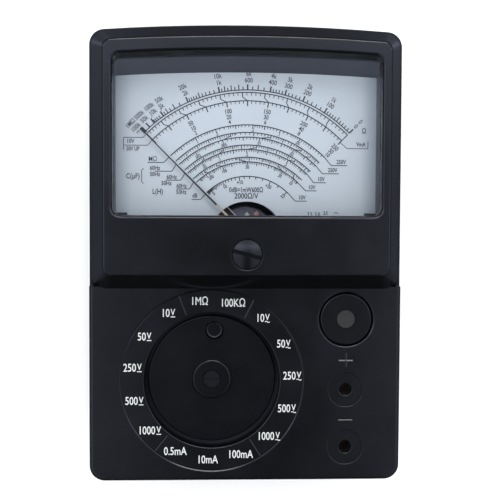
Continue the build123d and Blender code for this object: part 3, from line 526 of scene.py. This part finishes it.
def volt_scales(art):
    """The crowded alternating scale and the even direct scale below it, joined at round values."""
    upper, lower = LOW_VOLT_ARC, VOLT_ARC
    art.arc(upper, -SWING, SWING, FINE)
    art.arc(lower, -SWING, SWING, FINE)
    for k in range(51):
        whole = k % 5 == 0
        art.tick(low_volt_angle(k / 5), upper - (1.5 if whole else 1.0), upper, 0.34 if whole else 0.24)
        art.tick(even(k / 50), lower - (1.7 if whole else 0.95), lower, 0.38 if whole else 0.24)
    for volts in range(11):
        art.stroke(compass(upper - 1.45, low_volt_angle(volts)), compass(lower, even(volts / 10)), 0.28)
    for k in range(1, 6):
        angle = even(k / 5)
        art.text(f"{50 * k}", compass(40.3, angle), 1.42, angle)
        art.text(f"{10 * k}", compass(38.5, angle), 1.42, angle)
        art.text(f"{2 * k}", compass(36.85, angle), 1.32, angle)


def small_scales(art):
    """Megohms, microfarads and henries at mains frequency, and decibels."""
    high, low = METER_OHMS * HIGH_RANGE, METER_OHMS
    inner_scale(art, MEGOHM_ARC, megohm_angle, 0.004, 8, (0.05, 0.1, 0.2, 0.5, 1), MEGOHM_ARC - 1.6)
    pairs = ((*HIGH_CAPACITY_ARCS, capacity_law, high, 0.0002, 0.1),
             (*LOW_CAPACITY_ARCS, capacity_law, low, 0.005, 3),
             (*INDUCTANCE_ARCS, inductance_law, low, 4, 900))
    numbers = ((0.002, 0.005, 0.01, 0.02), (0.05, 0.1, 0.2, 0.5), (10, 20, 50, 100, 200))
    ties = ((0.005, 0.01, 0.02, 0.03), (0.05, 0.1, 0.2, 0.5), (10, 20, 50, 100, 200))
    for (upper, lower, law, ohms, first, last), row, tied in zip(pairs, numbers, ties):
        inner_scale(art, upper, law(60, ohms), first, last)
        inner_scale(art, lower, law(50, ohms), first, last, row, lower - 1.75)
        joined(art, upper, law(60, ohms), lower, law(50, ohms), tied)
    art.arc(DECIBEL_ARC, -SWING + 1, SWING, FINE)
    for level in range(-10, 23):
        is_long = level % 5 == 0 or level == 22
        art.tick(decibel_angle(level), DECIBEL_ARC - (1.25 if is_long else 0.85), DECIBEL_ARC, 0.27)
    for level in (0, 10, 15, 20, 22):
        words = f"+{level}" if level in (15, 20) else f"{level}"
        art.text(words, compass(DECIBEL_ARC - 1.85, decibel_angle(level)), 1.15, decibel_angle(level), 0.8)


def middle(arcs):
    """The radius half-way between two arcs."""
    return sum(arcs) / 2


def leader(art, arc_point, corner, end):
    """A scale's leader line: slanting from the arc to a corner, then level to its end."""
    art.path((arc_point, corner, (end, corner[1])), 0.27)


def dial_notes(art):
    """Names of the scales beside their ends, with leader lines, and the ratings in the middle."""
    rise = pivot_rise
    small = 1.35
    # Each leader's radius at the arc, then its corner, then where it ends
    lefts = ((MEGOHM_ARC, -27.1, 29.75, -32.25), (middle(HIGH_CAPACITY_ARCS), -24.4, 26.97, -29.9),
             (middle(LOW_CAPACITY_ARCS), -21.5, 24.1, -26.4), (middle(INDUCTANCE_ARCS), -18.7, 21.27, -22.9),
             (DECIBEL_ARC, -15.1, 17.9, -18.05))
    for reach, corner_x, corner_y, end_x in lefts:
        leader(art, compass(reach, -SWING), (corner_x, corner_y - rise), end_x)
    art.text("MΩ", (-30.6, 30.85 - rise), 1.6, 0, 0.8, 0.02)
    for upper_x, lower_x, upper_y in ((-29.9, -29.9, 27.96), (-24.5, -26.2, 25.05), (-21.3, -21.4, 22.2)):
        art.text("60Hz", (upper_x, upper_y - rise), small)
        art.text("50Hz", (lower_x, upper_y - 2.0 - rise), small)
    art.text("C(µF)", (-37.0, 25.3 - rise), 1.65)
    art.text("L(H)", (-29.0, 20.35 - rise), 1.65)
    art.text("dB", (-17.0, 19.1 - rise), small)
    brace_x, brace_top, brace_low = -34.2, 27.85 - rise, 22.95 - rise
    art.path(((brace_x + 0.6, brace_top), (brace_x, brace_top - 0.6), (brace_x, brace_low + 0.6),
              (brace_x + 0.6, brace_low)), 0.22)
    rights = ((MEGOHM_ARC, 27.3, 29.1, 32.6), (HIGH_CAPACITY_ARCS[1], 24.45, 26.43, 29.8),
              (LOW_CAPACITY_ARCS[1], 21.6, 23.5, 25.6), (INDUCTANCE_ARCS[1], 19.0, 20.85, 22.6),
              (DECIBEL_ARC, 15.66, 17.5, 19.4))
    for place, (reach, corner_x, corner_y, end_x) in enumerate(rights):
        leader(art, compass(reach, SWING), (corner_x, corner_y - rise), end_x)
        words = "250V" if place < 2 else "10V"
        art.text(words, (end_x - (2.0 if place < 2 else 1.55), corner_y + 1.1 - rise), small, 0, 0.75)
    box_left, box_high, box_low = -40.0, 37.8 - rise, 35.3 - rise
    art.path((compass(LOW_VOLT_ARC, -SWING), (-33.7, box_high), (box_left, box_high),
              (box_left, box_low - 1.6)), 0.22)
    art.path((compass(VOLT_ARC, -SWING), (-32.3, box_low), (box_left, box_low)), 0.22)
    art.text("10V", (-37.8, box_high - 1.2), small, 0, 0.8)
    art.text("50V UP", (-37.0, box_low - 1.15), small, 0, 0.7)
    art.path((compass(VOLT_ARC - 0.75, SWING), (32.5, 34.65 - rise), (39.3, 34.65 - rise),
              (39.3, 37.05 - rise)), 0.22)
    art.text("VmA", (37.0, 35.95 - rise), small, 0, 0.75)
    art.text("0dB=1mW600Ω", (-0.35, 21.0 - rise), 1.6, 0, 0.72)
    art.text("2000Ω/V", (-0.3, 19.0 - rise), 1.75, 0, 0.85)
    art.text("7.5  5.0", (21.7, 13.1 - rise), 1.3, 0, 0.75)
    art.text("2.5", (25.6, 13.6 - rise), 1.1, 0, 0.75)
    art.path(((28.3, 13.3 - rise), (29.0, 14.0 - rise), (29.7, 13.3 - rise)), 0.2)


DIAL_SHIFT = 0.3 * mm           # the print lies this far right of the pivot

dial_art = Print("dial_scales", (pivot.x + DIAL_SHIFT, pivot.y), dial_z)
ohm_scale(dial_art)
volt_scales(dial_art)
small_scales(dial_art)
dial_notes(dial_art)
dial_art.done(dial_ink)


# Drops of sealing lacquer on the movement, seen through the dial's cut-out

def lump(name, place, width, height, material):
    """A small uneven drop standing on the movement's core."""
    mesh = bmesh.new()
    bmesh.ops.create_icosphere(mesh, subdivisions=3, radius=0.5)
    for vert in mesh.verts:
        x, y, z = vert.co
        swell = 1 + 0.12 * sin(9 * x + 4 * y) + 0.08 * cos(11 * y)
        vert.co = Vector((x * width * swell, y * width * swell, max(z, -0.1) * 2 * height))
        vert.co += Vector((place[0], place[1], top("core_magnet") / mm + 0.2 * height))
    for face in mesh.faces:
        face.smooth = True
    add_piece(name, mesh, Matrix.Diagonal((mm, mm, mm, 1)), material)


white_lacquer = plastic("white_lacquer", (0.80, 0.80, 0.78), (0.90, 0.90, 0.88), 0.25, 0.35, 1500)
pink_lacquer = plastic("pink_lacquer", (0.75, 0.42, 0.34), (0.85, 0.50, 0.42), 0.25, 0.35, 1500)
lump("core_seal", (0.6, 13.0), 1.5, 0.45, white_lacquer)
lump("core_lacquer", (3.8, 13.3), 1.7, 0.4, pink_lacquer)


# Range lettering round the selector

RANGE_STEP = 24.0               # degrees from one range to the next
FIRST_RANGE = -9.0
LETTER_REACH = 26.3
LETTER_HEIGHT = 2.6
DIGIT_STEP = 1.55
LETTER_WEIGHT = 0.03
BAR_DROP = 1.45                 # the bar or wave below the middle of its V
BAR_WIDTH = 0.28


def range_letters():
    """White range names round the selector; a bar marks direct volts and a wave alternating volts."""
    art = Print("range_lettering", selector, panel_z)
    volts = ["10V", "50V", "250V", "500V", "1000V"]
    names = ["1MΩ", "100KΩ"] + volts + ["100mA", "10mA", "0.5mA"] + volts[::-1]
    for place, words in enumerate(names):
        at = compass(LETTER_REACH, FIRST_RANGE + RANGE_STEP * place)
        if not words.endswith("V"):
            art.text(words, at, LETTER_HEIGHT, 0, 0.76, LETTER_WEIGHT)
            continue
        volt_at = at + Vector((DIGIT_STEP * (len(words) - 1) / 2, 0.3))
        number_at = at - Vector((DIGIT_STEP / 2 + 0.05, 0))
        art.text(words[:-1], number_at, LETTER_HEIGHT, 0, 0.76, LETTER_WEIGHT)
        art.text("V", volt_at, LETTER_HEIGHT * 0.78, 0, 0.8, LETTER_WEIGHT)
        bar = volt_at - Vector((0, BAR_DROP))
        if place > 6:
            art.stroke(bar - Vector((0.75, 0)), bar + Vector((0.75, 0)), BAR_WIDTH)
            continue
        wave = [bar + Vector((0.2 * k - 0.8, 0.18 * sin(k * pi / 4))) for k in range(9)]
        art.path(wave, BAR_WIDTH)
    art.done(white_ink)


range_letters()


# Studio

def softbox(name, place, aim, size, radiance):
    """A soft area light of a given radiance, turned towards a point."""
    light = bpy.data.lights.new(name, "AREA")
    light.shape = "RECTANGLE"
    light.size, light.size_y = size
    light.energy = radiance * pi * size[0] * size[1]
    lamp = bpy.data.objects.new(name, light)
    lamp.location = place
    lamp.rotation_euler = (Vector(aim) - Vector(place)).to_track_quat("-Z", "Y").to_euler()
    bpy.context.scene.collection.objects.link(lamp)


def sky():
    """A pale room of even light, in which gloss sees a dark ceiling, brighter to +Y and the sides."""
    world = bpy.data.worlds.new("pale_room")
    world.use_nodes = True
    tree = world.node_tree
    even_light = tree.nodes["Background"]
    even_light.inputs["Color"].default_value = (0.97, 0.985, 1.0, 1)
    even_light.inputs["Strength"].default_value = 1.6
    place = tree.nodes.new("ShaderNodeTexCoord")
    split = tree.nodes.new("ShaderNodeSeparateXYZ")
    tree.links.new(place.outputs["Generated"], split.inputs["Vector"])

    def rise(source, start, end, low, high):
        made = tree.nodes.new("ShaderNodeMapRange")
        made.interpolation_type = "SMOOTHSTEP"
        for name, value in (("From Min", start), ("From Max", end), ("To Min", low), ("To Max", high)):
            made.inputs[name].default_value = value
        tree.links.new(source, made.inputs["Value"])
        return made.outputs["Result"]

    def combine(kind, first, second):
        made = tree.nodes.new("ShaderNodeMath")
        made.operation = kind
        for socket, value in zip(made.inputs, (first, second)):
            if isinstance(value, float):
                socket.default_value = value
            else:
                tree.links.new(value, socket)
        return made.outputs["Value"]

    away, overhead = split.outputs["Y"], split.outputs["Z"]
    sideways = combine("ABSOLUTE", combine("SUBTRACT", split.outputs["X"], 0.04), 0.0)
    steps = ((away, 0, 0.2, 1.0), (away, 0.18, 0.26, 2.6), (away, 0.28, 0.38, -2.7),
             (sideways, 0.55, 0.8, 1.6))
    pattern = rise(sideways, 0.07, 0.25, 0.05, 1.2)
    for source, start, end, gain in steps:
        pattern = combine("ADD", pattern, rise(source, start, end, 0, gain))
    pattern = combine("MULTIPLY", pattern, rise(overhead, 0.4, 0.97, 0.08, 1))
    seen_in_gloss = tree.nodes.new("ShaderNodeBackground")
    seen_in_gloss.inputs["Color"].default_value = (0.70, 0.76, 1.0, 1)
    tree.links.new(pattern, seen_in_gloss.inputs["Strength"])
    rays = tree.nodes.new("ShaderNodeLightPath")
    choice = tree.nodes.new("ShaderNodeMixShader")
    tree.links.new(rays.outputs["Is Glossy Ray"], choice.inputs["Fac"])
    tree.links.new(even_light.outputs["Background"], choice.inputs[1])
    tree.links.new(seen_in_gloss.outputs["Background"], choice.inputs[2])
    tree.links.new(choice.outputs["Shader"], tree.nodes["World Output"].inputs["Surface"])
    bpy.context.scene.world = world


def pale_floor():
    """A plain pale floor under the object, faintly mottled."""
    made, shader = new_material("pale_floor")
    cloud = noise(made, 3, 3)
    shade = tint(made, cloud.outputs["Fac"], (0.90, 0.90, 0.90), (0.92, 0.92, 0.92))
    link(made, shade, shader.inputs["Base Color"])
    shader.inputs["Roughness"].default_value = 0.9
    shader.inputs["Specular IOR Level"].default_value = 0.2
    data = bpy.data.meshes.new("floor")
    reach, level = 4.0, cad_box[0][2]
    data.from_pydata([(-reach, -reach, level), (reach, -reach, level), (reach, reach, level),
                      (-reach, reach, level)], [], [(0, 1, 2, 3)])
    data.materials.append(made)
    floor = bpy.data.objects.new("floor", data)
    bpy.context.scene.collection.objects.link(floor)
    floor.visible_glossy = False


sky()
pale_floor()
softbox("window_light", (0.1, 1.1, 1.0), (0, 0, 0), (1.0, 0.5), 6.0)

# The camera, nearly overhead
camera_data = bpy.data.cameras.new("camera")
camera_data.lens = 76.64
camera_data.sensor_width = 36
camera_data.clip_start = 0.01
camera = bpy.data.objects.new("camera", camera_data)
camera.location = (-0.01366, 0.01870, 0.38216)
camera.rotation_euler = Euler((radians(-2.852), radians(-2.4616), radians(0.2696)))
bpy.context.scene.collection.objects.link(camera)
bpy.context.scene.camera = camera
bpy.context.scene.view_settings.view_transform = "Standard"
